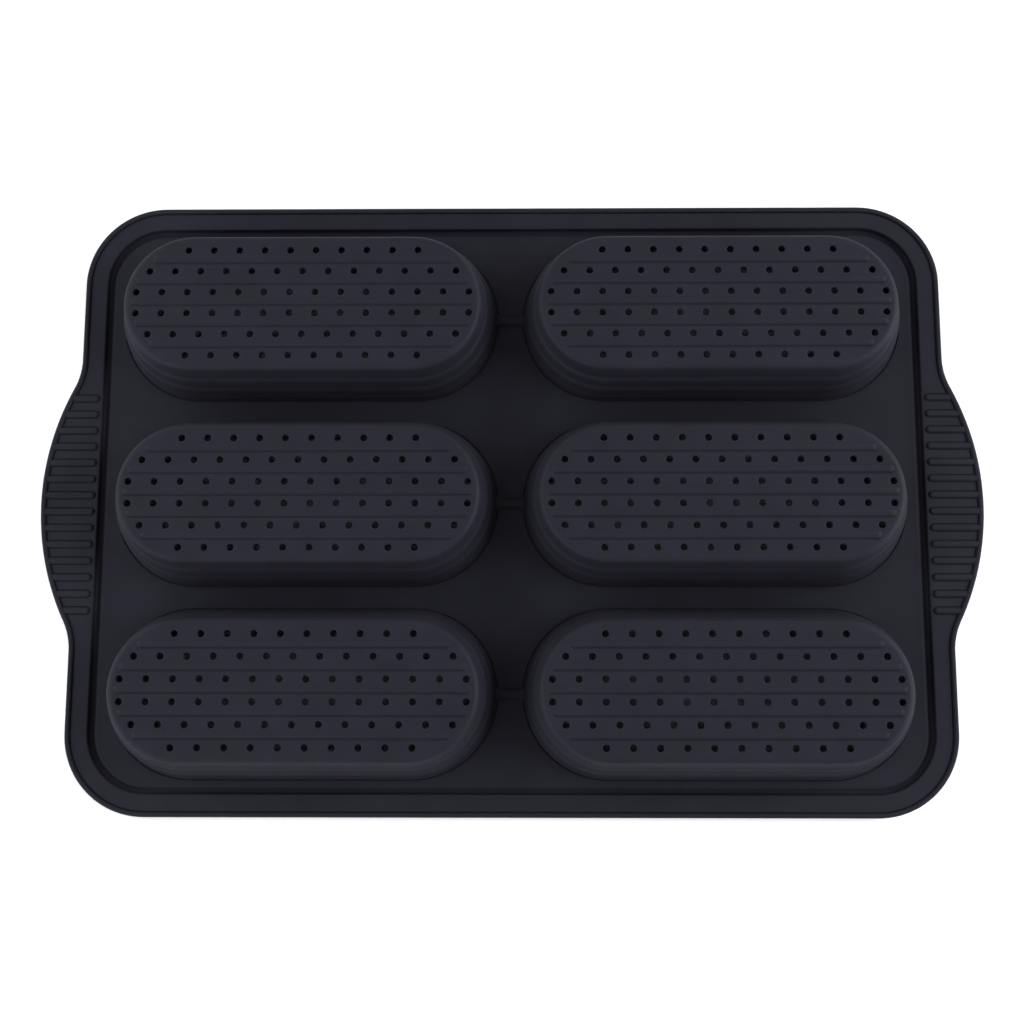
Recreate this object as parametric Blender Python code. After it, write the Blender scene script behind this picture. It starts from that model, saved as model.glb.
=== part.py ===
"""Perforated silicone tray for six short baguettes, lying upside down on its rim.

Metres, +Z up. The six cups stand up from the deck, X runs from grip to grip, Y towards the back.
"""

import math

import bmesh
import bpy
from mathutils import Vector
from mathutils.geometry import delaunay_2d_cdt

MM = 0.001
GAP = 0.3 * MM

# Outer edge of the tray: a rounded rectangle with a curved wing at each end
HALF_LENGTH = 194.0 * MM
HALF_WIDTH = 137.3 * MM
CORNER_RADIUS = 36.0 * MM
WING_TIP = 209.5 * MM
WING_RADIUS = 118.0 * MM
WING_FILLET = 30.0 * MM

# Heights, from the rim's loading side at z = 0
DECK_LOW = 0.6 * MM
DECK_HIGH = 2.4 * MM
SPLIT_HEIGHT = 2.25 * MM
GROOVE_FLOOR = 1.3 * MM
RIM_HIGH = 4.5 * MM
LIP_HIGH = 5.4 * MM
BASE_HIGH = 32.5 * MM
RIDGE_HIGH = 32.9 * MM

# Distances in from the outer edge
LIP_WIDTH = 2.3 * MM
BAND_INSET = 9.6 * MM
GROOVE_INSET = 13.0 * MM
FRAME_INSET = 6.0 * MM
FRAME_HALF_WIDTH = 1.8 * MM
FRAME_HALF_THICKNESS = 0.8 * MM

# Cups: stadium shapes with a straight run between two half circles
CUP_SPACING_X = 181.6 * MM
CUP_SPACING_Y = 84.2 * MM
CUP_HALF_RUN = 48.0 * MM
CUP_FOOT_RADIUS = 36.9 * MM
CUP_WALL = 1.8 * MM
CUP_FLOOR = 2.0 * MM
# The wall steps in twice as it rises: radius and height where each step starts and ends
STEPS = (
    (35.1 * MM, 14.0 * MM),
    (33.7 * MM, 15.5 * MM),
    (32.9 * MM, 21.6 * MM),
    (31.4 * MM, 23.1 * MM),
)
EDGE_SHOULDERS = ((30.9 * MM, 28.4 * MM), (29.8 * MM, 31.3 * MM))
BASE_RADIUS = 28.2 * MM
COLUMNS = {"left": -0.5, "right": 0.5}
ROWS = {"back": 1, "middle": 0, "front": -1}

# Steam holes: rows across the cup, each row centred on it
HOLE_PITCH = 11.2 * MM
HOLE_ROW_PITCH = 9.5 * MM
HOLE_RADIUS = 1.6 * MM
HOLE_SIDES = 6
HOLES_IN_ROWS = (10, 13, 14, 14, 13, 10)

# Low ridges along the cup's base, between the hole rows
RIDGE_HALF_WIDTH = 1.0 * MM
RIDGE_END_MARGIN = 0.5 * MM

# Ribs on the grips and between the cups
GRIP_HALF_LENGTH = 62.0 * MM
UPPER_GRIP_START = 186.0 * MM
LOWER_GRIP_START = 185.0 * MM
GRIP_RIB_COUNT = 14
GRIP_RIB_PITCH = 7.38 * MM
GRIP_RIB_HALF_WIDTH = 1.5 * MM
GRIP_RIB_START = 186.2 * MM
BRIDGE_HALF_LENGTH = 5.5 * MM
BRIDGE_HALF_WIDTH = 2.0 * MM
BRIDGE_FILLET = 3.0 * MM
BRIDGE_HEIGHT = 1.4 * MM

CORNER_SEGMENTS = 8
END_SEGMENTS = 12
INSIDE_OUTLINE = 1  # the triangulation's output type that stays within the outermost loop


def clear_scene():
    for old in list(bpy.data.objects):
        bpy.data.objects.remove(old, do_unlink=True)


def make_material(name, colour, roughness, metallic):
    material = bpy.data.materials.new(name)
    material.use_nodes = True
    shader = material.node_tree.nodes["Principled BSDF"]
    shader.inputs["Base Color"].default_value = (*colour, 1.0)
    shader.inputs["Roughness"].default_value = roughness
    shader.inputs["Metallic"].default_value = metallic
    material.diffuse_color = (*colour, 1.0)
    return material


def arc(centre, radius, start, end, segments):
    """Points along an arc, both ends included; the angles are in degrees."""
    angles = [math.radians(start + (end - start) * i / segments) for i in range(segments + 1)]
    return [
        Vector((centre[0] + radius * math.cos(a), centre[1] + radius * math.sin(a)))
        for a in angles
    ]


def wing_curve(inset):
    """The right wing's edge from front to back, moved in by inset."""
    wing_x = WING_TIP - WING_RADIUS
    fillet_x = HALF_LENGTH + WING_FILLET
    reach = WING_RADIUS + WING_FILLET
    fillet_y = math.sqrt(reach**2 - (fillet_x - wing_x) ** 2)
    turn = math.degrees(math.asin(fillet_y / reach))
    front = arc((fillet_x, -fillet_y), WING_FILLET + inset, 180, 180 - turn, 3)
    middle = arc((wing_x, 0), WING_RADIUS - inset, -turn, turn, 12)
    back = arc((fillet_x, fillet_y), WING_FILLET + inset, 180 + turn, 180, 3)
    return front + middle[1:-1] + back


def outline(inset, wings):
    """The tray's edge moved in by inset, as a loop of points; every inset gives as many points."""
    radius = CORNER_RADIUS - inset
    x, y = HALF_LENGTH - CORNER_RADIUS, HALF_WIDTH - CORNER_RADIUS
    half = arc((x, -y), radius, -90, 0, CORNER_SEGMENTS)
    if wings:
        half += wing_curve(inset)
    half += arc((x, y), radius, 0, 90, CORNER_SEGMENTS)
    return half + [-point for point in half]


def stadium(centre, half_run, radius):
    right = arc((centre[0] + half_run, centre[1]), radius, -90, 90, END_SEGMENTS)
    left = arc((centre[0] - half_run, centre[1]), radius, 90, 270, END_SEGMENTS)
    return right + left


def add_object(name, mesh_data, material):
    bmesh.ops.recalc_face_normals(mesh_data, faces=mesh_data.faces)
    mesh = bpy.data.meshes.new(name)
    mesh_data.to_mesh(mesh)
    mesh_data.free()
    mesh.materials.append(material)
    made = bpy.data.objects.new(name, mesh)
    bpy.context.scene.collection.objects.link(made)
    return made


def add_loop(mesh_data, points, height):
    return [mesh_data.verts.new((point.x, point.y, height)) for point in points]


def add_band(mesh_data, first, second):
    """Quads between two loops that have as many points."""
    for i in range(len(first)):
        j = (i + 1) % len(first)
        mesh_data.faces.new((first[i], first[j], second[j], second[i]))


def add_pierced_face(mesh_data, rim, holes):
    """Triangles that fill the loop rim and leave the convex loops in holes open."""
    corners, edges, owner = [], [], []
    for number, loop in enumerate([rim, *holes]):
        start = len(corners)
        corners += loop
        owner += [number] * len(loop)
        edges += [(start + i, start + (i + 1) % len(loop)) for i in range(len(loop))]
    flat = [corner.co.xy for corner in corners]
    _, _, triangles, origins, _, _ = delaunay_2d_cdt(flat, edges, [], INSIDE_OUTLINE, 1e-9)
    for triangle in triangles:
        picked = [origins[index][0] for index in triangle]
        owners = {owner[index] for index in picked}
        if owners != {0} and len(owners) == 1:
            continue
        mesh_data.faces.new([corners[index] for index in picked])


def ring_solid(name, profile, wings, material):
    """A closed ring whose section is profile: (inset, height) pairs in order round the section."""
    shape = bmesh.new()
    loops = [add_loop(shape, outline(inset, wings), height) for inset, height in profile]
    for i in range(len(loops)):
        add_band(shape, loops[i], loops[(i + 1) % len(loops)])
    return add_object(name, shape, material)


def plate_solid(name, points, holes, low, high, material):
    """A flat plate with upright edges, pierced by holes."""
    shape = bmesh.new()
    rims = [add_loop(shape, points, height) for height in (low, high)]
    bores = [[add_loop(shape, hole, height) for hole in holes] for height in (low, high)]
    for rim, bore in zip(rims, bores):
        add_pierced_face(shape, rim, bore)
    add_band(shape, *rims)
    for lower, upper in zip(*bores):
        add_band(shape, lower, upper)
    return add_object(name, shape, material)


def box_points(low_x, high_x, low_y, high_y):
    corners = ((low_x, low_y), (high_x, low_y), (high_x, high_y), (low_x, high_y))
    return [Vector(corner) for corner in corners]


def helper(made):
    made.hide_render = True
    made.display_type = "WIRE"
    return made


def boolean(target, operation, other):
    change = target.modifiers.new(operation.title(), "BOOLEAN")
    change.operation = operation
    change.object = helper(other)


def hole_centres(centre):
    """Centres of a cup's steam holes, row by row."""
    rows = len(HOLES_IN_ROWS)
    for row, count in enumerate(HOLES_IN_ROWS):
        y = centre[1] + HOLE_ROW_PITCH * ((rows - 1) / 2 - row)
        for column in range(count):
            yield centre[0] + HOLE_PITCH * (column - (count - 1) / 2), y


def ridge_plans(centre):
    """Plans of the ridges between a cup's hole rows."""
    gaps = len(HOLES_IN_ROWS) - 1
    for number in range(gaps):
        y = HOLE_ROW_PITCH * (number - (gaps - 1) / 2)
        edge = abs(y) + RIDGE_HALF_WIDTH
        length = CUP_HALF_RUN + math.sqrt(BASE_RADIUS**2 - edge**2) - RIDGE_END_MARGIN
        low, high = centre[1] + y - RIDGE_HALF_WIDTH, centre[1] + y + RIDGE_HALF_WIDTH
        yield box_points(centre[0] - length, centre[0] + length, low, high)


def make_cup(name, centre, material):
    outside = (
        (CUP_FOOT_RADIUS, DECK_LOW),
        (CUP_FOOT_RADIUS, DECK_HIGH),
        *STEPS,
        *EDGE_SHOULDERS,
        (BASE_RADIUS, BASE_HIGH),
    )
    inside = (
        (CUP_FOOT_RADIUS - CUP_WALL, DECK_LOW),
        *((radius - CUP_WALL, height - 0.2 * CUP_WALL) for radius, height in (*STEPS, EDGE_SHOULDERS[0])),
        (BASE_RADIUS - 0.3 * CUP_WALL, BASE_HIGH - CUP_FLOOR),
    )
    shape = bmesh.new()
    sections = [*reversed(inside), *outside]
    loops = [
        add_loop(shape, stadium(centre, CUP_HALF_RUN, radius), height)
        for radius, height in sections
    ]
    for lower, upper in zip(loops, loops[1:]):
        add_band(shape, lower, upper)
    rounds = [arc(spot, HOLE_RADIUS, 0, 360, HOLE_SIDES)[:-1] for spot in hole_centres(centre)]
    low_holes = [add_loop(shape, points, BASE_HIGH - CUP_FLOOR) for points in rounds]
    high_holes = [add_loop(shape, points, BASE_HIGH) for points in rounds]
    ridges = list(ridge_plans(centre))
    ridge_feet = [add_loop(shape, points, BASE_HIGH) for points in ridges]
    ridge_tops = [add_loop(shape, points, RIDGE_HIGH) for points in ridges]
    add_pierced_face(shape, loops[0], low_holes)
    add_pierced_face(shape, loops[-1], high_holes + ridge_feet)
    for low_hole, high_hole in zip(low_holes, high_holes):
        add_band(shape, low_hole, high_hole)
    for foot, top in zip(ridge_feet, ridge_tops):
        add_band(shape, foot, top)
        add_pierced_face(shape, top, [])
    return add_object(name, shape, material)


def cup_places():
    for column, across in COLUMNS.items():
        for row, along in ROWS.items():
            yield f"cup_{row}_{column}", (across * CUP_SPACING_X, along * CUP_SPACING_Y)


def bridge_points(middle):
    """Plan of a bridging rib, flared at both ends where it meets the cups."""
    fillet_x = BRIDGE_HALF_LENGTH - BRIDGE_FILLET
    fillet_y = BRIDGE_HALF_WIDTH + BRIDGE_FILLET
    points = arc((fillet_x, middle + fillet_y), BRIDGE_FILLET, 0, -90, 3)
    points += arc((-fillet_x, middle + fillet_y), BRIDGE_FILLET, 270, 180, 3)
    points += arc((-fillet_x, middle - fillet_y), BRIDGE_FILLET, 180, 90, 3)
    points += arc((fillet_x, middle - fillet_y), BRIDGE_FILLET, 90, 0, 3)
    return points


def make_deck(material):
    """The web between the cups, with a short rib between the two cups of each row."""
    edge = outline(GROOVE_INSET + GAP, False)
    openings = [
        stadium(centre, CUP_HALF_RUN, CUP_FOOT_RADIUS + GAP) for _, centre in cup_places()
    ]
    deck = plate_solid("deck", edge, openings, DECK_LOW, DECK_HIGH, material)
    top = DECK_HIGH + BRIDGE_HEIGHT
    for row, along in ROWS.items():
        plan = bridge_points(along * CUP_SPACING_Y)
        rib = plate_solid(f"bridge_{row}", plan, [], DECK_HIGH - 0.5 * MM, top, material)
        boolean(deck, "UNION", rib)
    return deck


def channel():
    """Half width and half height of the hollow that holds the steel frame."""
    return FRAME_HALF_WIDTH + GAP, FRAME_HALF_THICKNESS + GAP


def notch_for_grips(rim, start, material):
    """Clears the rim's flat band at each end beyond start, where a grip takes its place."""
    length = GRIP_HALF_LENGTH + GAP
    for side in (-1, 1):
        ends = sorted((side * start, side * HALF_LENGTH))
        points = box_points(*ends, -length, length)
        cutter = plate_solid("grip_notch", points, [], -1 * MM, LIP_HIGH, material)
        boolean(rim, "DIFFERENCE", cutter)


def make_rim_halves(material):
    """The band's two faces. The one below reaches in under the groove, to the deck's edge."""
    across, up = channel()
    low_channel, high_channel = FRAME_INSET - across, FRAME_INSET + across
    edge = LIP_WIDTH + GAP
    upper_start = SPLIT_HEIGHT + GAP / 2
    lower_end = SPLIT_HEIGHT - GAP / 2
    underside = (
        (BAND_INSET, upper_start),
        (high_channel, upper_start),
        (high_channel, SPLIT_HEIGHT + up),
        (low_channel, SPLIT_HEIGHT + up),
        (low_channel, upper_start),
        (edge, upper_start),
        (edge, RIM_HIGH),
        (BAND_INSET, RIM_HIGH),
    )
    loading_side = (
        (GROOVE_INSET, GROOVE_FLOOR),
        (BAND_INSET, GROOVE_FLOOR),
        (BAND_INSET, lower_end),
        (high_channel, lower_end),
        (high_channel, SPLIT_HEIGHT - up),
        (low_channel, SPLIT_HEIGHT - up),
        (low_channel, lower_end),
        (edge, lower_end),
        (edge, 0.0),
        (GROOVE_INSET - DECK_LOW, 0.0),
        (GROOVE_INSET, DECK_LOW),
    )
    upper = ring_solid("rim_underside", underside, False, material)
    notch_for_grips(upper, UPPER_GRIP_START - GAP, material)
    lower = ring_solid("rim_loading_side", loading_side, False, material)
    notch_for_grips(lower, LOWER_GRIP_START - GAP, material)


def make_lip(material):
    """The bead round the whole edge, wings included."""
    soft = 0.6 * MM
    profile = (
        (LIP_WIDTH, 0.0),
        (soft, 0.0),
        (0.0, soft),
        (0.0, RIM_HIGH),
        (0.2 * LIP_WIDTH, LIP_HIGH - 0.2 * MM),
        (0.5 * LIP_WIDTH, LIP_HIGH),
        (0.8 * LIP_WIDTH, LIP_HIGH - 0.2 * MM),
        (LIP_WIDTH, RIM_HIGH),
    )
    return ring_solid("edge_lip", profile, True, material)


def make_steel_frame(material):
    """The flat strip, bent to a closed loop, inside the rim and the grips."""
    outer, inner = FRAME_INSET - FRAME_HALF_WIDTH, FRAME_INSET + FRAME_HALF_WIDTH
    low, high = SPLIT_HEIGHT - FRAME_HALF_THICKNESS, SPLIT_HEIGHT + FRAME_HALF_THICKNESS
    profile = ((inner, low), (outer, low), (outer, high), (inner, high))
    return ring_solid("steel_frame", profile, False, material)


def grip_points(side, inner):
    """Plan of a grip: straight at inner, curved outside like the wing."""
    edge = [
        point
        for point in wing_curve(LIP_WIDTH + GAP)
        if abs(point.y) < GRIP_HALF_LENGTH
    ]
    end_x = HALF_LENGTH - LIP_WIDTH - GAP
    points = [
        Vector((inner, -GRIP_HALF_LENGTH)),
        Vector((end_x, -GRIP_HALF_LENGTH)),
        *edge,
        Vector((end_x, GRIP_HALF_LENGTH)),
        Vector((inner, GRIP_HALF_LENGTH)),
    ]
    if side > 0:
        return points
    return [Vector((-point.x, point.y)) for point in reversed(points)]


def cut_channel(grip, side, start, material):
    """Clears room for the steel frame, from start to the channel's outer wall."""
    across, up = channel()
    end = HALF_LENGTH - FRAME_INSET + across
    length = GRIP_HALF_LENGTH + 1 * MM
    points = box_points(*sorted((side * start, side * end)), -length, length)
    low, high = SPLIT_HEIGHT - up, SPLIT_HEIGHT + up
    boolean(grip, "DIFFERENCE", plate_solid("grip_channel", points, [], low, high, material))


def wing_reach(y, inset):
    """How far out the wing's round middle reaches at y, moved in by inset."""
    return WING_TIP - WING_RADIUS + math.sqrt((WING_RADIUS - inset) ** 2 - y**2)


def add_grip_ribs(grip, side, material):
    """Ribs across the underside of a grip, rounded at the end nearer the cups."""
    ribs = bmesh.new()
    for number in range(GRIP_RIB_COUNT):
        y = GRIP_RIB_PITCH * (number - (GRIP_RIB_COUNT - 1) / 2)
        start = GRIP_RIB_START + GRIP_RIB_HALF_WIDTH
        end = wing_reach(abs(y) + GRIP_RIB_HALF_WIDTH, LIP_WIDTH + 2 * GAP)
        plan = arc((start, y), GRIP_RIB_HALF_WIDTH, 90, 270, 4)
        plan += [Vector((end, y - GRIP_RIB_HALF_WIDTH)), Vector((end, y + GRIP_RIB_HALF_WIDTH))]
        plan = [Vector((side * point.x, point.y)) for point in plan]
        foot = add_loop(ribs, plan, RIM_HIGH - 0.5 * MM)
        top = add_loop(ribs, plan, LIP_HIGH)
        add_pierced_face(ribs, foot, [])
        add_pierced_face(ribs, top, [])
        add_band(ribs, foot, top)
    boolean(grip, "UNION", add_object("grip_ribs", ribs, material))


def make_grips(material):
    channel_start = HALF_LENGTH - FRAME_INSET - channel()[0]
    for end, side in (("left", -1), ("right", 1)):
        plan = grip_points(side, UPPER_GRIP_START)
        low = SPLIT_HEIGHT + GAP / 2
        upper = plate_solid(f"{end}_grip_underside", plan, [], low, RIM_HIGH, material)
        cut_channel(upper, side, UPPER_GRIP_START - 1 * MM, material)
        add_grip_ribs(upper, side, material)
        plan = grip_points(side, LOWER_GRIP_START)
        high = SPLIT_HEIGHT - GAP / 2
        lower = plate_solid(f"{end}_grip_loading_side", plan, [], 0.0, high, material)
        cut_channel(lower, side, channel_start, material)


def build():
    clear_scene()
    silicone = make_material("silicone", (0.031, 0.030, 0.040), 0.55, 0.0)
    steel = make_material("stainless_steel", (0.56, 0.57, 0.58), 0.32, 1.0)
    make_deck(silicone)
    for name, centre in cup_places():
        make_cup(name, centre, silicone)
    make_rim_halves(silicone)
    make_lip(silicone)
    make_grips(silicone)
    make_steel_frame(steel)


build()
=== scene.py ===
"""Looks of the perforated silicone baguette tray, which lies upside down on its rim.

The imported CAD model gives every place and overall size. The silicone moulding is rebuilt here with its
rounded edges, stepped cup walls, ridges and ribs, one piece for each CAD node, and the pieces meet flush so
that they read as one moulding. Metres, +Z up, X from grip to grip, Y towards the back.
"""

import math

import bmesh
import bpy
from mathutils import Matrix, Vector
from mathutils.geometry import delaunay_2d_cdt


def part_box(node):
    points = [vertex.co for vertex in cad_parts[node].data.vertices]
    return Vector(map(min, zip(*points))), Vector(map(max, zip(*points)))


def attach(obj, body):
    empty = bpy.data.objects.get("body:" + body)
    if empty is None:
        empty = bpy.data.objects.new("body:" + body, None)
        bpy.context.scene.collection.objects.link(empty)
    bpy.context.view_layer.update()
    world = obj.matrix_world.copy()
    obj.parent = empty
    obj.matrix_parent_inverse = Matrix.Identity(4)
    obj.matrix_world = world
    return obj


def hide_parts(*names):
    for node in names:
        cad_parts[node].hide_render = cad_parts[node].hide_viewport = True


MM = 0.001
CUP_NODES = [f"cup_{row}_{side}" for side in ("left", "right") for row in ("back", "middle", "front")]

# The tray's edge, seen from above
CORNER_RADIUS = 36.0 * MM
WING_RADIUS = 118.0 * MM
WING_FILLET = 30.0 * MM
GRIP_HALF_LENGTH = 62.0 * MM

# Distances in from the edge
LIP_WIDTH = 2.3 * MM
LIP_SOFT = 0.9 * MM
LIP_GAP = 0.3 * MM  # between the CAD's rim and lip
BAND_INSET = 9.95 * MM
GROOVE_INSET = 13.0 * MM
UPPER_GRIP_INSET = 8.3 * MM
LOWER_GRIP_INSET = 9.0 * MM
FRAME_INSET = 6.0 * MM
CHANNEL_HALF_WIDTH = 2.1 * MM
CHANNEL_HALF_HEIGHT = 1.1 * MM

# Heights that the frame's boxes don't give
SPLIT_HEIGHT = 2.25 * MM
GROOVE_FLOOR = 1.5 * MM
GROOVE_LOW_EDGE = 0.45 * MM  # softness of the rim's lower inner edge
DECK_HIGH = 2.4 * MM
DECK_EASE = 1.2 * MM  # how far in the deck's edge is eased above the groove
SEAM_HEIGHT = 3.9 * MM

# Cup walls: radius, height and softness of each corner, from the foot up
STEPS = (
    (36.25 * MM, 6.8 * MM, 0.7 * MM),
    (35.65 * MM, 7.7 * MM, 0.35 * MM),
    (35.1 * MM, 14.0 * MM, 1.15 * MM),
    (33.75 * MM, 15.5 * MM, 0.85 * MM),
    (32.95 * MM, 21.6 * MM, 1.15 * MM),
    (31.45 * MM, 23.1 * MM, 0.85 * MM),
)
EDGE_CORNERS = ((31.1 * MM, 27.4 * MM, 2.3 * MM), (30.0 * MM, 32.5 * MM, 2.45 * MM))
BASE_RADIUS = 27.45 * MM
FOOT_MARGIN = 0.9 * MM
FOOT_CREASE = 0.45 * MM
CUP_WALL = 1.8 * MM
CUP_FLOOR = 2.0 * MM
RIDGE_HEIGHT = 0.4 * MM
RIDGE_FRONT = -1.9 * MM
RIDGE_CREST = 1.2 * MM
RIDGE_BACK = 2.5 * MM
RIDGE_CREST_HALF_WIDTH = 0.1 * MM
RIDGE_GROOVE = 0.5 * MM
RIDGE_GROOVE_SHARE = 1 / 2.2  # how much of the way from edge to crest the groove takes up
RIDGE_END_MARGIN = 0.3 * MM
RIDGE_FADE = 1.6 * MM
RIDGE_FADE_STEPS = 4
RIDGE_RINGS = 16
RIDGE_END_SEGMENTS = 8
HOLES_IN_ROWS = (10, 13, 14, 14, 13, 10)
HOLE_PITCH = 11.2 * MM
HOLE_ROW_PITCH = 9.5 * MM
HOLE_RADIUS = 1.5 * MM
HOLE_EDGE = 0.3 * MM

# Ribs on the grips and between the cups
GRIP_RIB_COUNT = 14
GRIP_RIB_PITCH = 7.38 * MM
GRIP_RIB_HALF_WIDTH = 1.35 * MM
GRIP_RIB_START = 185.8 * MM
BRIDGE_HALF_WIDTH = 1.6 * MM
BRIDGE_FILLET = 3.0 * MM
BRIDGE_HEIGHT = 1.4 * MM
BRIDGE_OVERLAP = 0.6 * MM  # how far a bridging rib enters a cup
BRIDGE_END = 1.2 * MM  # the straight stretch that enters a cup's wall

EDGE_SOFT = 0.5 * MM
BAND_SOFT = 0.7 * MM
SUPPORT = 0.15 * MM  # width of the flat strip beside each rounded edge, which keeps flat faces flat
CORNER_SEGMENTS = 24
WING_SEGMENTS = 56
FILLET_SEGMENTS = 8
END_SEGMENTS = 32
HOLE_SEGMENTS = 20
INSIDE_OUTLINE = 1  # the triangulation's output type that stays within the outermost loop
SMOOTH_BELOW = math.radians(40)

# Light panels round the tray: azimuth clockwise from the back and elevation in degrees, power in watts
PANELS = (
    ("right", 90, 28, 30.0),
    ("front_left", 225, 28, 12.0),
    ("left", 270, 28, 14.0),
    ("back_left", 315, 28, 7.0),
    ("back_right", 45, 28, 5.5),
)
PANEL_DISTANCE = 1.6
PANEL_SIZE = (1.3, 1.0)
WORLD_STRENGTH = 0.52
VIEW_GAMMA = 0.8  # deepens the picture's dark tones
FLOOR_HALF = 12.0
FLOOR_DROP = 0.05 * MM  # keeps the floor just clear of the tray

# Camera, from the photograph's perspective
CAMERA_PLACE = (9.3 * MM, -113.2 * MM, 662.4 * MM)
CAMERA_TURN = (9.421, 0.736, 0.085)
CAMERA_LENS = 52.77


def arc(centre, radius, start, end, segments):
    """Points along an arc, both ends included; the angles are in degrees."""
    angles = [math.radians(start + (end - start) * i / segments) for i in range(segments + 1)]
    return [
        Vector((centre[0] + radius * math.cos(a), centre[1] + radius * math.sin(a)))
        for a in angles
    ]


def soften(corners, segments=4):
    """A section's corners (across, height, radius), each rounded over the length of its radius."""
    points = []
    for i, (x, z, radius) in enumerate(corners):
        here = Vector((x, z))
        if radius == 0:
            points.append(here)
            continue
        before = (Vector(corners[i - 1][:2]) - here).normalized() * radius
        after = (Vector(corners[(i + 1) % len(corners)][:2]) - here).normalized() * radius
        for step in range(segments + 1):
            t = step / segments
            points.append(here + before * (1 - t) ** 2 + after * t**2)
    return points


class Shape:
    """A mesh in the making: rings of points, the bands between them and the caps that close them."""

    def __init__(self):
        self.points = []
        self.faces = []

    def ring(self, plan, height):
        start = len(self.points)
        self.points += [(point[0], point[1], height) for point in plan]
        return list(range(start, len(self.points)))

    def band(self, first, second, closed=True):
        for i in range(len(first) if closed else len(first) - 1):
            j = (i + 1) % len(first)
            self.faces.append((first[i], first[j], second[j], second[i]))

    def loft(self, rings, closed=True):
        for first, second in zip(rings, rings[1:]):
            self.band(first, second, closed)

    def cap(self, rim, holes=()):
        """Fills the ring rim and leaves the convex rings in holes open."""
        corners, edges, owner = [], [], []
        for number, ring in enumerate([rim, *holes]):
            start = len(corners)
            corners += ring
            owner += [number] * len(ring)
            edges += [(start + i, start + (i + 1) % len(ring)) for i in range(len(ring))]
        flat = [Vector(self.points[corner][:2]) for corner in corners]
        result = delaunay_2d_cdt(flat, edges, [], INSIDE_OUTLINE, 1e-9)
        for triangle in result[2]:
            picked = [result[3][index][0] for index in triangle]
            owners = {owner[index] for index in picked}
            if owners == {0} or len(owners) > 1:
                self.faces.append(tuple(corners[index] for index in picked))

    def finish(self, name, material, node):
        """Makes the object, which rides on the body and stands for a CAD node."""
        mesh = bpy.data.meshes.new(name)
        mesh.from_pydata(self.points, [], self.faces)
        shape = bmesh.new()
        shape.from_mesh(mesh)
        bmesh.ops.recalc_face_normals(shape, faces=shape.faces)
        shape.to_mesh(mesh)
        shape.free()
        mesh.validate()
        mesh.shade_smooth()
        mesh.set_sharp_from_angle(angle=SMOOTH_BELOW)
        mesh.materials.append(material)
        piece = bpy.data.objects.new(name, mesh)
        bpy.context.scene.collection.objects.link(piece)
        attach(piece, "root")
        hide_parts(node)
        return piece


class Tray:
    """Sizes of the whole tray, read from the frame."""

    def __init__(self):
        lip_low, lip_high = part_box("edge_lip")
        _, rim_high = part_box("rim_underside")
        deck_low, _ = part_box("deck")
        self.half_width = lip_high.y
        self.wing_tip = lip_high.x
        self.half_length = rim_high.x + LIP_WIDTH + LIP_GAP
        self.floor = lip_low.z
        self.lip_high = lip_high.z
        self.rim_high = rim_high.z
        self.deck_low = deck_low.z
        fillet_x = self.half_length + WING_FILLET
        reach = WING_RADIUS + WING_FILLET
        self.wing_x = self.wing_tip - WING_RADIUS
        self.fillet_y = math.sqrt(reach**2 - (fillet_x - self.wing_x) ** 2)
        self.turn = math.degrees(math.asin(self.fillet_y / reach))

    def wing(self, inset, clip=None):
        """The right wing's edge from front to back, moved in by inset; clip is the half length kept."""
        centre_x = self.half_length + WING_FILLET
        radius = WING_FILLET + inset
        start = 180.0
        if clip is not None:
            start -= math.degrees(math.asin((self.fillet_y - clip) / radius))
        front = arc((centre_x, -self.fillet_y), radius, start, 180 - self.turn, FILLET_SEGMENTS)
        middle = arc((self.wing_x, 0), WING_RADIUS - inset, -self.turn, self.turn, WING_SEGMENTS)
        back = [Vector((point.x, -point.y)) for point in reversed(front)]
        return front + middle[1:-1] + back

    def outline(self, inset, wings):
        """The whole edge moved in by inset, as a closed ring of points."""
        radius = CORNER_RADIUS - inset
        x, y = self.half_length - CORNER_RADIUS, self.half_width - CORNER_RADIUS
        half = arc((x, -y), radius, -90, 0, CORNER_SEGMENTS)
        if wings:
            half += self.wing(inset)
        half += arc((x, y), radius, 0, 90, CORNER_SEGMENTS)
        return half + [-point for point in half]

    def front_run(self, inset):
        """The edge moved in by inset, from the left grip round the front to the right grip."""
        radius = CORNER_RADIUS - inset
        x, y = self.half_length - CORNER_RADIUS, self.half_width - CORNER_RADIUS
        right = arc((x, -y), radius, -90, 0, CORNER_SEGMENTS)
        if inset < EDGE_SOFT + LIP_WIDTH + SUPPORT:
            fillet = Vector((self.half_length + WING_FILLET, -self.fillet_y))
            angle = math.degrees(math.asin((self.fillet_y - GRIP_HALF_LENGTH) / (WING_FILLET + inset)))
            right += arc(fillet, WING_FILLET + inset, 180, 180 - angle, 2)
        else:
            edge = self.half_length - inset
            halfway = (self.fillet_y + GRIP_HALF_LENGTH) / 2
            right += [Vector((edge, -y)) for y in (self.fillet_y, halfway, GRIP_HALF_LENGTH)]
        left = [Vector((-point.x, point.y)) for point in reversed(right)]
        return left + right


def closed_ring(name, tray, section, wings, material, node):
    """A ring round the whole tray; section holds (inset, height) points in order."""
    shape = Shape()
    rings = [shape.ring(tray.outline(inset, wings), height) for inset, height in section]
    shape.loft([*rings, rings[0]])
    return shape.finish(name, material, node)


def add_run(shape, tray, section, side):
    """The stretch of a rim round the tray's front (side -1) or back (side 1), closed at both ends."""
    rings = []
    for inset, height in section:
        plan = [Vector((-side * point.x, -side * point.y)) for point in tray.front_run(inset)]
        rings.append(shape.ring(plan, height))
    shape.loft([*rings, rings[0]], closed=False)
    shape.faces.append(tuple(ring[0] for ring in rings))
    shape.faces.append(tuple(ring[-1] for ring in rings))


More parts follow.
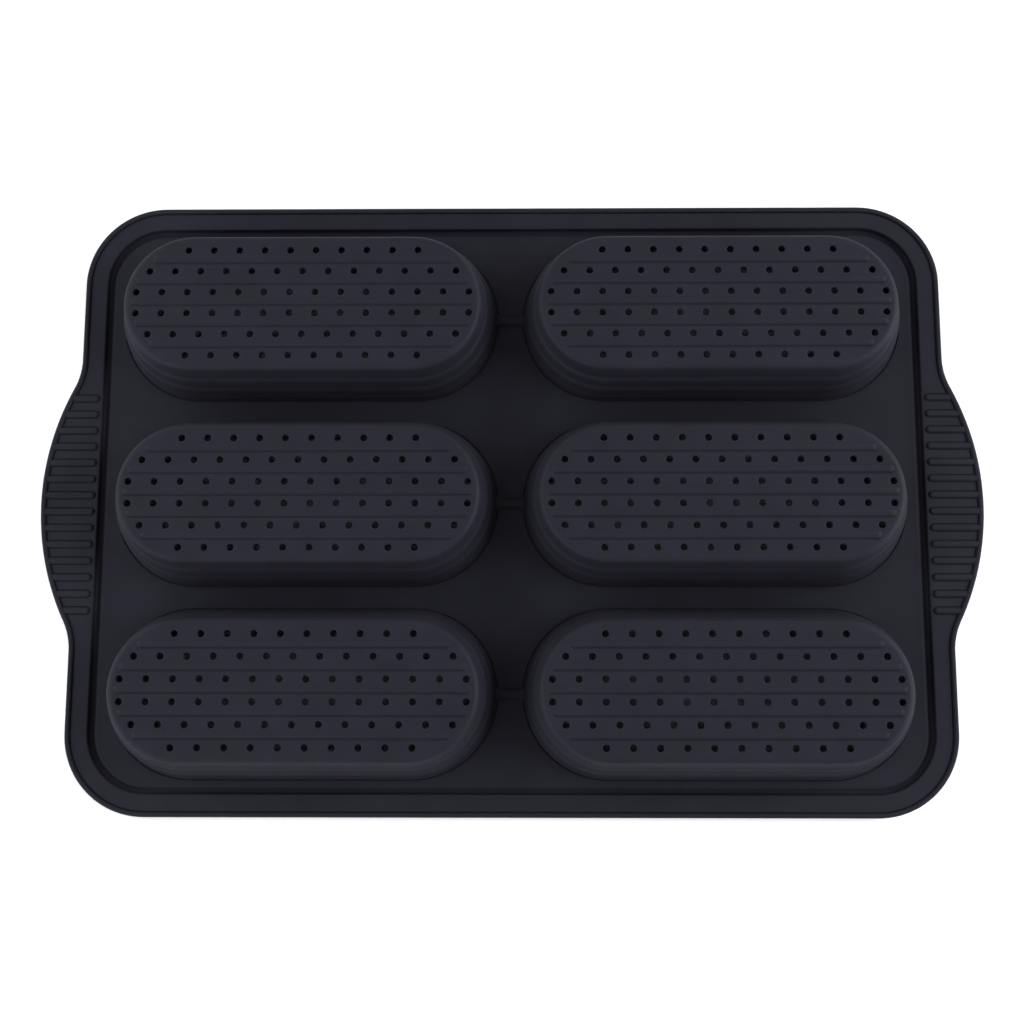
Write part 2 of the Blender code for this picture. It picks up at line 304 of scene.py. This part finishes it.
def add_strip(shape, tray, section, side):
    """The straight stretch of a rim that passes inside a grip."""
    ends = []
    for y in (-GRIP_HALF_LENGTH, GRIP_HALF_LENGTH):
        start = len(shape.points)
        shape.points += [(side * (tray.half_length - inset), y, height) for inset, height in section]
        ends.append(list(range(start, len(shape.points))))
    shape.band(*ends)
    shape.faces += [tuple(end) for end in ends]


def make_rim_underside(tray, material):
    """The flat band: softly rounded beside the lip and above the groove."""
    high, seam = tray.rim_high, SEAM_HEIGHT
    inner = FRAME_INSET + CHANNEL_HALF_WIDTH
    outer = FRAME_INSET - CHANNEL_HALF_WIDTH
    roof = SPLIT_HEIGHT + CHANNEL_HALF_HEIGHT
    top = [(BAND_INSET, high, BAND_SOFT)]
    strip = soften([(UPPER_GRIP_INSET, SPLIT_HEIGHT, 0), (UPPER_GRIP_INSET, high, 0)])
    strip += soften([(UPPER_GRIP_INSET, high, 0), *top, (BAND_INSET, SPLIT_HEIGHT, 0)])[1:]
    section = soften(
        [
            (BAND_INSET, SPLIT_HEIGHT, 0),
            (inner, SPLIT_HEIGHT, 0),
            (inner, roof, 0),
            (outer, roof, 0),
            (outer, SPLIT_HEIGHT, 0),
            (LIP_WIDTH, SPLIT_HEIGHT, 0),
            (LIP_WIDTH, seam, 0),
            (LIP_WIDTH, high, EDGE_SOFT),
            (LIP_WIDTH + EDGE_SOFT + SUPPORT, high, 0),
            (BAND_INSET - BAND_SOFT - SUPPORT, high, 0),
            *top,
        ]
    )
    shape = Shape()
    for side in (-1, 1):
        add_run(shape, tray, section, side)
        add_strip(shape, tray, strip, side)
    return shape.finish("rim_band", material, "rim_underside")


def make_rim_loading_side(tray, material):
    """The rim's other face, which reaches in under the groove to the deck's edge."""
    inner = FRAME_INSET + CHANNEL_HALF_WIDTH
    outer = FRAME_INSET - CHANNEL_HALF_WIDTH
    floor = SPLIT_HEIGHT - CHANNEL_HALF_HEIGHT
    groove = [
        (GROOVE_INSET, tray.floor, GROOVE_LOW_EDGE),
        (GROOVE_INSET, DECK_HIGH - 0.1 * MM, 0),
        (GROOVE_INSET - 0.5 * MM, DECK_HIGH - 0.2 * MM, 0.5 * MM),
        (GROOVE_INSET - 1.3 * MM, GROOVE_FLOOR, 0.6 * MM),
        (BAND_INSET + 0.3 * MM, GROOVE_FLOOR, 0.5 * MM),
        (BAND_INSET, SPLIT_HEIGHT, 0),
    ]
    lower_edge = GROOVE_INSET - GROOVE_LOW_EDGE - SUPPORT
    section = soften(
        [
            *groove,
            (inner, SPLIT_HEIGHT, 0),
            (inner, floor, 0),
            (outer, floor, 0),
            (outer, SPLIT_HEIGHT, 0),
            (LIP_WIDTH, SPLIT_HEIGHT, 0),
            (LIP_WIDTH, tray.floor, 0),
            (lower_edge, tray.floor, 0),
        ]
    )
    strip = soften(
        [
            *groove,
            (LOWER_GRIP_INSET, SPLIT_HEIGHT, 0),
            (LOWER_GRIP_INSET, tray.floor, 0),
            (lower_edge, tray.floor, 0),
        ]
    )
    shape = Shape()
    for side in (-1, 1):
        add_run(shape, tray, section, side)
        add_strip(shape, tray, strip, side)
    return shape.finish("rim_base", material, "rim_loading_side")


def make_lip(tray, material):
    """The rounded bead round the whole edge."""
    crown = tray.lip_high
    section = soften(
        [
            (LIP_WIDTH, tray.floor, 0),
            (0.0, tray.floor, LIP_SOFT),
            (0.0, crown, LIP_SOFT),
            (LIP_WIDTH - 0.1 * MM, crown, LIP_SOFT),
            (LIP_WIDTH, SEAM_HEIGHT, 0),
        ],
        6,
    )
    return closed_ring("lip_bead", tray, section, True, material, "edge_lip")


def make_steel_frame(tray, material):
    """The flat strip inside the rim, with its edges eased."""
    low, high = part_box("steel_frame")
    outer = tray.half_length - high.x
    width = 2 * (FRAME_INSET - outer)
    corners = ((outer, low.z), (outer + width, low.z), (outer + width, high.z), (outer, high.z))
    section = soften([(inset, height, 0.3 * MM) for inset, height in corners])
    return closed_ring("frame_strip", tray, section, False, material, "steel_frame")


def add_grip_plate(shape, tray, start, section, channel_height):
    """A right-hand grip's plate; section runs from the face with the frame's channel to the open face."""
    rings = [shape.ring(tray.wing(inset, GRIP_HALF_LENGTH), height) for inset, height in section]
    shape.loft(rings, closed=False)
    inner = tray.half_length - start
    edge = tray.half_length - FRAME_INSET + CHANNEL_HALF_WIDTH
    split, face = section[0][1], section[-1][1]
    ends = [
        [
            shape.ring([(x, y)], height)[0]
            for x, height in ((edge, split), (edge, channel_height), (inner, channel_height), (inner, face))
        ]
        for y in (-GRIP_HALF_LENGTH, GRIP_HALF_LENGTH)
    ]
    shape.band(*ends, closed=False)
    for end, index in zip(ends, (0, -1)):
        shape.faces.append((*end, *(ring[index] for ring in reversed(rings))))
    shape.cap([ends[0][0], *rings[0], ends[1][0]])
    shape.cap([ends[0][-1], *rings[-1], ends[1][-1]])


def rib_plan(start, end, y, half_width):
    """Plan of a grip rib with a round inner end."""
    plan = arc((start + half_width, y), half_width, 90, 270, 10)
    return plan + [Vector((end, y - half_width)), Vector((end, y + half_width))]


def add_grip_rib(shape, tray, y):
    """A rib whose sides run down to the plate in a small fillet and whose outer end enters the lip."""
    half = GRIP_RIB_HALF_WIDTH
    base, top = tray.rim_high, tray.lip_high - 0.1 * MM
    section = soften(
        [
            (0.55 * MM, base - 0.2 * MM, 0),
            (0.5 * MM, base, 0),
            (0.0, base, 0.3 * MM),
            (0.0, base + 0.45 * MM, 0.3 * MM),
            (-0.65 * MM, top, 0.5 * MM),
            (-1.2 * MM, top, 0),
        ]
    )
    end = tray.wing_x + math.sqrt((WING_RADIUS - 0.6 * LIP_WIDTH) ** 2 - (abs(y) + half) ** 2)
    rings = [
        shape.ring(rib_plan(GRIP_RIB_START - grow, end, y, half + grow), height)
        for grow, height in section
    ]
    shape.loft(rings)
    shape.cap(rings[0])
    shape.cap(rings[-1])


def mirrored(shape):
    """Turns a right-hand shape into a left-hand one."""
    shape.points = [(-x, y, z) for x, y, z in shape.points]


def make_grips(tray, material):
    high = tray.rim_high
    upper = soften(
        [
            (LIP_WIDTH, SPLIT_HEIGHT, 0),
            (LIP_WIDTH, SEAM_HEIGHT, 0),
            (LIP_WIDTH, high, EDGE_SOFT),
            (LIP_WIDTH + EDGE_SOFT + SUPPORT, high, 0),
        ]
    )
    lower = [(LIP_WIDTH, SPLIT_HEIGHT), (LIP_WIDTH, tray.floor)]
    for end in ("left", "right"):
        plate = Shape()
        add_grip_plate(plate, tray, UPPER_GRIP_INSET, upper, SPLIT_HEIGHT + CHANNEL_HALF_HEIGHT)
        for number in range(GRIP_RIB_COUNT):
            add_grip_rib(plate, tray, GRIP_RIB_PITCH * (number - (GRIP_RIB_COUNT - 1) / 2))
        back = Shape()
        add_grip_plate(back, tray, LOWER_GRIP_INSET, lower, SPLIT_HEIGHT - CHANNEL_HALF_HEIGHT)
        if end == "left":
            mirrored(plate)
            mirrored(back)
        plate.finish(f"{end}_grip_ribbed", material, f"{end}_grip_underside")
        back.finish(f"{end}_grip_plain", material, f"{end}_grip_loading_side")


def stadium(centre, half_run, radius):
    """A straight run with a half circle at each end, seen from above."""
    right = arc((centre.x + half_run, centre.y), radius, -90, 90, END_SEGMENTS)
    left = arc((centre.x - half_run, centre.y), radius, 90, 270, END_SEGMENTS)
    return right + left


def cup_size(node):
    """Centre, straight half run, foot radius and ridge height of a cup, from its box."""
    low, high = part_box(node)
    radius = (high.y - low.y) / 2
    return (low + high) / 2, (high.x - low.x) / 2 - radius, radius, high.z


def hole_centres(centre):
    rows = len(HOLES_IN_ROWS)
    for row, count in enumerate(HOLES_IN_ROWS):
        y = centre.y + HOLE_ROW_PITCH * ((rows - 1) / 2 - row)
        for column in range(count):
            yield centre.x + HOLE_PITCH * (column - (count - 1) / 2), y


def add_hole(shape, spot, low, high):
    """A steam hole with eased edges. Returns the rings that its two faces start from."""
    wide = HOLE_RADIUS + HOLE_EDGE
    section = soften(
        [
            (wide + SUPPORT, low, 0),
            (wide, low, 0),
            (HOLE_RADIUS, low, HOLE_EDGE),
            (HOLE_RADIUS, high, HOLE_EDGE),
            (wide, high, 0),
            (wide + SUPPORT, high, 0),
        ],
        3,
    )
    del section[1], section[-2]
    rings = [
        shape.ring(arc(spot, radius, 0, 360, HOLE_SEGMENTS)[:-1], height)
        for radius, height in section
    ]
    shape.loft(rings)
    return rings[0], rings[-1]


def ridge_section(rings):
    """Rings of a ridge from edge to crest: where each one's front and back are, and how high they are."""
    for number in range(rings + 1):
        t = number / rings
        groove = RIDGE_GROOVE * math.sin(math.pi * min(1.0, t / RIDGE_GROOVE_SHARE)) ** 2
        rise = RIDGE_HEIGHT * (3 * t**2 - 2 * t**3)
        front = RIDGE_FRONT + (RIDGE_CREST - RIDGE_CREST_HALF_WIDTH - RIDGE_FRONT) * t
        back = RIDGE_BACK + (RIDGE_CREST + RIDGE_CREST_HALF_WIDTH - RIDGE_BACK) * t
        yield front, rise - groove, back, rise


def ridge_plan(run, half_width):
    """A long round-ended plan, with points close together where the ridge fades out."""
    steps = [run - RIDGE_FADE * (i + 1) / RIDGE_FADE_STEPS for i in range(RIDGE_FADE_STEPS)]
    half = [Vector((x, -half_width)) for x in reversed(steps)]
    half += arc((run, 0), half_width, -90, 90, RIDGE_END_SEGMENTS)
    half += [Vector((x, half_width)) for x in steps]
    return half + [-point for point in half]


def add_ridge(shape, centre, y, half_run, base):
    """A low line between two hole rows: a fine groove in front of a soft crest. Returns its outer ring."""
    widest = (RIDGE_BACK - RIDGE_FRONT) / 2
    off_centre = y + (RIDGE_BACK + RIDGE_FRONT) / 2
    reach = half_run + widest
    reach += math.sqrt((BASE_RADIUS - RIDGE_END_MARGIN - widest) ** 2 - off_centre**2)
    rings = []
    for front, front_height, back, back_height in ridge_section(RIDGE_RINGS):
        half_width = (back - front) / 2
        middle = y + (front + back) / 2
        start = len(shape.points)
        for point in ridge_plan(reach - half_width, half_width):
            backward = 0.5 + 0.5 * point.y / half_width
            inward = min(1.0, (reach - abs(point.x)) / RIDGE_FADE)
            height = (front_height + (back_height - front_height) * backward) * inward
            shape.points.append((centre.x + point.x, centre.y + middle + point.y, base + height))
        rings.append(list(range(start, len(shape.points))))
    shape.loft(rings)
    shape.cap(rings[-1])
    return rings[0]


def cup_outside(radius, base):
    """Section of a cup's visible side, from its border with the deck up to the base's flat."""
    return soften(
        [
            (radius + FOOT_MARGIN, DECK_HIGH, 0),
            (radius + 0.55 * MM, DECK_HIGH, 0.2 * MM),
            (radius + 0.1 * MM, DECK_HIGH - FOOT_CREASE, 0.15 * MM),
            (radius - 0.1 * MM, DECK_HIGH + 0.5 * MM, 0.2 * MM),
            *STEPS,
            *EDGE_CORNERS,
            (BASE_RADIUS, base, 0),
            (BASE_RADIUS - SUPPORT, base, 0),
        ],
        6,
    )


def cup_inside(radius, base, deck_low):
    """Section of a cup's food side, from its border with the deck down to its floor."""
    floor = base - CUP_FLOOR
    points = [(radius + FOOT_MARGIN, deck_low, 0), (radius - CUP_WALL, deck_low, 1.4 * MM)]
    points += [
        (step_radius - CUP_WALL, step_height - 0.2 * CUP_WALL, softness)
        for step_radius, step_height, softness in STEPS
    ]
    points += [(EDGE_CORNERS[0][0] - CUP_WALL, floor, 1.4 * MM), (BASE_RADIUS - 0.1 * MM, floor, 0)]
    return soften(points, 6)


def make_cup(tray, node, material):
    centre, half_run, radius, ridge_high = cup_size(node)
    base = ridge_high - RIDGE_HEIGHT
    shape = Shape()
    outside = [
        shape.ring(stadium(centre, half_run, across), height)
        for across, height in cup_outside(radius, base)
    ]
    inside = [
        shape.ring(stadium(centre, half_run, across), height)
        for across, height in cup_inside(radius, base, tray.deck_low)
    ]
    shape.loft([*reversed(inside), *outside])
    holes = [add_hole(shape, spot, base - CUP_FLOOR, base) for spot in hole_centres(centre)]
    gaps = len(HOLES_IN_ROWS) - 1
    ridges = [
        add_ridge(shape, centre, HOLE_ROW_PITCH * (number - (gaps - 1) / 2), half_run, base)
        for number in range(gaps)
    ]
    shape.cap(inside[-1], [lower for lower, _ in holes])
    shape.cap(outside[-1], [upper for _, upper in holes] + ridges)
    return shape.finish(f"{node}_bowl", material, node)


def add_bridge(shape, y, half_length):
    """A short rib between two cups, flared in plan at both ends, with a small fillet at its foot."""
    top = DECK_HIGH + BRIDGE_HEIGHT
    section = soften(
        [
            (0.6 * MM, DECK_HIGH - 0.3 * MM, 0),
            (0.55 * MM, DECK_HIGH, 0),
            (0.0, DECK_HIGH, 0.5 * MM),
            (0.0, top, 0.6 * MM),
            (-0.6 * MM - SUPPORT, top, 0),
            (-0.8 * MM, top, 0),
        ]
    )
    rings = []
    for grow, height in section:
        radius = BRIDGE_FILLET - grow
        centre = Vector((half_length - BRIDGE_FILLET, BRIDGE_HALF_WIDTH + BRIDGE_FILLET))
        turn = math.degrees(math.acos((BRIDGE_FILLET - BRIDGE_END) / radius))
        back = arc(centre, radius, -turn, -90, 6)
        back.insert(0, Vector((half_length, back[0].y)))
        back += [Vector((-point.x, point.y)) for point in reversed(back)]
        plan = [Vector((point.x, y + point.y)) for point in back]
        plan += [Vector((-point.x, y - point.y)) for point in back]
        rings.append(shape.ring(plan, height))
    shape.loft(rings)
    shape.cap(rings[0])
    shape.cap(rings[-1])


def make_deck(tray, material):
    """The web between the cups, with an eased edge above the groove."""
    section = soften(
        [
            (GROOVE_INSET + DECK_EASE, tray.deck_low, 0),
            (GROOVE_INSET, tray.deck_low, 0),
            (GROOVE_INSET, DECK_HIGH - 0.1 * MM, 0),
            (GROOVE_INSET + DECK_EASE / 2, DECK_HIGH, 0.5 * MM),
            (GROOVE_INSET + DECK_EASE, DECK_HIGH, 0),
        ]
    )
    shape = Shape()
    rings = [shape.ring(tray.outline(inset, False), height) for inset, height in section]
    shape.loft(rings)
    borders = []
    for node in CUP_NODES:
        centre, half_run, radius, _ = cup_size(node)
        plan = stadium(centre, half_run, radius + FOOT_MARGIN)
        pair = [shape.ring(plan, height) for height in (tray.deck_low, DECK_HIGH)]
        shape.band(*pair)
        borders.append(pair)
    shape.cap(rings[0], [low for low, _ in borders])
    shape.cap(rings[-1], [high for _, high in borders])
    for node in CUP_NODES[:3]:
        centre, half_run, radius, _ = cup_size(node)
        neck = -centre.x - half_run - radius
        add_bridge(shape, centre.y, neck + BRIDGE_OVERLAP)
    return shape.finish("deck_web", material, "deck")


def noise(nodes, links, coordinates, scale, detail, low, high):
    """A noise texture spread from low to high."""
    texture = nodes.new("ShaderNodeTexNoise")
    texture.inputs["Scale"].default_value = scale
    texture.inputs["Detail"].default_value = detail
    links.new(coordinates, texture.inputs["Vector"])
    spread = nodes.new("ShaderNodeMapRange")
    spread.inputs["From Min"].default_value = 0.3
    spread.inputs["From Max"].default_value = 0.7
    spread.inputs["To Min"].default_value = low
    spread.inputs["To Max"].default_value = high
    links.new(texture.outputs["Fac"], spread.inputs["Value"])
    return spread.outputs["Result"]


def silicone_material():
    """Matte dark blue-grey silicone: faint clouding, fine moulded grain and a few specks of dust."""
    material = bpy.data.materials.new("silicone_moulding")
    material.use_nodes = True
    nodes, links = material.node_tree.nodes, material.node_tree.links
    shader = nodes["Principled BSDF"]
    shader.inputs["Metallic"].default_value = 0.0
    shader.inputs["IOR"].default_value = 1.41
    shader.inputs["Specular IOR Level"].default_value = 0.21
    shader.inputs["Sheen Weight"].default_value = 0.02
    shader.inputs["Sheen Roughness"].default_value = 0.5
    coordinates = nodes.new("ShaderNodeTexCoord").outputs["Object"]

    clouds = noise(nodes, links, coordinates, 60.0, 4.0, 0.0, 1.0)
    colour = nodes.new("ShaderNodeMix")
    colour.data_type = "RGBA"
    colour.inputs["A"].default_value = (0.0228, 0.0229, 0.0334, 1.0)
    colour.inputs["B"].default_value = (0.0264, 0.0265, 0.0386, 1.0)
    links.new(clouds, colour.inputs["Factor"])

    dust = nodes.new("ShaderNodeTexVoronoi")
    dust.inputs["Scale"].default_value = 260.0
    links.new(coordinates, dust.inputs["Vector"])
    speck = nodes.new("ShaderNodeMapRange")
    speck.inputs["From Min"].default_value = 0.035
    speck.inputs["From Max"].default_value = 0.015
    links.new(dust.outputs["Distance"], speck.inputs["Value"])
    patches = noise(nodes, links, coordinates, 900.0, 1.0, -2.2, 1.0)
    sparse = nodes.new("ShaderNodeMath")
    sparse.operation = "MULTIPLY"
    sparse.use_clamp = True
    links.new(speck.outputs["Result"], sparse.inputs[0])
    links.new(patches, sparse.inputs[1])
    dusty = nodes.new("ShaderNodeMix")
    dusty.data_type = "RGBA"
    dusty.inputs["B"].default_value = (0.16, 0.16, 0.17, 1.0)
    links.new(sparse.outputs["Value"], dusty.inputs["Factor"])
    links.new(colour.outputs["Result"], dusty.inputs["A"])
    links.new(dusty.outputs["Result"], shader.inputs["Base Color"])

    gloss = noise(nodes, links, coordinates, 35.0, 3.0, 0.50, 0.58)
    links.new(gloss, shader.inputs["Roughness"])

    grain = noise(nodes, links, coordinates, 2600.0, 2.0, 0.0, 1.0)
    fine = nodes.new("ShaderNodeBump")
    fine.inputs["Strength"].default_value = 0.12
    fine.inputs["Distance"].default_value = 0.00006
    links.new(grain, fine.inputs["Height"])
    ripple = noise(nodes, links, coordinates, 28.0, 1.0, 0.0, 1.0)
    soft = nodes.new("ShaderNodeBump")
    soft.inputs["Strength"].default_value = 0.25
    soft.inputs["Distance"].default_value = 0.0006
    links.new(ripple, soft.inputs["Height"])
    links.new(fine.outputs["Normal"], soft.inputs["Normal"])
    links.new(soft.outputs["Normal"], shader.inputs["Normal"])
    return material


def steel_material():
    """Satin steel strip with fine lines along the roll."""
    material = bpy.data.materials.new("frame_steel")
    material.use_nodes = True
    nodes, links = material.node_tree.nodes, material.node_tree.links
    shader = nodes["Principled BSDF"]
    shader.inputs["Metallic"].default_value = 1.0
    coordinates = nodes.new("ShaderNodeTexCoord").outputs["Object"]
    tint = noise(nodes, links, coordinates, 90.0, 3.0, 0.0, 1.0)
    colour = nodes.new("ShaderNodeMix")
    colour.data_type = "RGBA"
    colour.inputs["A"].default_value = (0.50, 0.51, 0.52, 1.0)
    colour.inputs["B"].default_value = (0.60, 0.61, 0.62, 1.0)
    links.new(tint, colour.inputs["Factor"])
    links.new(colour.outputs["Result"], shader.inputs["Base Color"])
    links.new(noise(nodes, links, coordinates, 400.0, 2.0, 0.26, 0.38), shader.inputs["Roughness"])
    lines = nodes.new("ShaderNodeBump")
    lines.inputs["Strength"].default_value = 0.2
    lines.inputs["Distance"].default_value = 0.00003
    links.new(noise(nodes, links, coordinates, 3000.0, 2.0, 0.0, 1.0), lines.inputs["Height"])
    links.new(lines.outputs["Normal"], shader.inputs["Normal"])
    return material


def make_floor():
    """A plain white table top that reaches far beyond the view."""
    material = bpy.data.materials.new("studio_floor")
    material.use_nodes = True
    shader = material.node_tree.nodes["Principled BSDF"]
    shader.inputs["Base Color"].default_value = (0.96, 0.96, 0.96, 1.0)
    shader.inputs["Roughness"].default_value = 0.9
    half = FLOOR_HALF
    corners = [(-half, -half), (half, -half), (half, half), (-half, half)]
    mesh = bpy.data.meshes.new("studio_floor")
    mesh.from_pydata([(x, y, -FLOOR_DROP) for x, y in corners], [], [(0, 1, 2, 3)])
    mesh.materials.append(material)
    floor = bpy.data.objects.new("studio_floor", mesh)
    bpy.context.scene.collection.objects.link(floor)


def add_softbox(name, azimuth, elevation, power):
    """A panel of soft light that faces the tray."""
    turn, rise = math.radians(azimuth), math.radians(elevation)
    across = PANEL_DISTANCE * math.cos(rise)
    place = (across * math.sin(turn), across * math.cos(turn), PANEL_DISTANCE * math.sin(rise))
    data = bpy.data.lights.new(name, "AREA")
    data.shape = "RECTANGLE"
    data.size, data.size_y = PANEL_SIZE
    data.energy = power
    light = bpy.data.objects.new(name, data)
    light.location = place
    light.rotation_euler = (-Vector(place)).to_track_quat("-Z", "Y").to_euler()
    bpy.context.scene.collection.objects.link(light)


def make_light():
    world = bpy.data.worlds.new("studio")
    world.use_nodes = True
    background = world.node_tree.nodes["Background"]
    background.inputs["Color"].default_value = (1.0, 1.0, 1.0, 1.0)
    background.inputs["Strength"].default_value = WORLD_STRENGTH
    bpy.context.scene.world = world
    for panel in PANELS:
        add_softbox(*panel)


def make_camera():
    data = bpy.data.cameras.new("photo_view")
    data.lens = CAMERA_LENS
    data.clip_start = 0.01
    camera = bpy.data.objects.new("photo_view", data)
    camera.location = CAMERA_PLACE
    camera.rotation_euler = [math.radians(angle) for angle in CAMERA_TURN]
    bpy.context.scene.collection.objects.link(camera)
    bpy.context.scene.camera = camera


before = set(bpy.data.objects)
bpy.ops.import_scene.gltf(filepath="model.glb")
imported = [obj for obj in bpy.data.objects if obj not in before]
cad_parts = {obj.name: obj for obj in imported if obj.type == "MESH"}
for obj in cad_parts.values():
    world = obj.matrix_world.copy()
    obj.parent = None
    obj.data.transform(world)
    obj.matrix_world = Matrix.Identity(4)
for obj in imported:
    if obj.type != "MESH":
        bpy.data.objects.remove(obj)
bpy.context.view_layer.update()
tray = Tray()
silicone = silicone_material()
make_deck(tray, silicone)
for node in CUP_NODES:
    make_cup(tray, node, silicone)
make_rim_underside(tray, silicone)
make_rim_loading_side(tray, silicone)
make_lip(tray, silicone)
make_grips(tray, silicone)
make_steel_frame(tray, steel_material())
make_floor()
make_light()
make_camera()
bpy.context.scene.view_settings.view_transform = "Standard"
bpy.context.scene.view_settings.gamma = VIEW_GAMMA
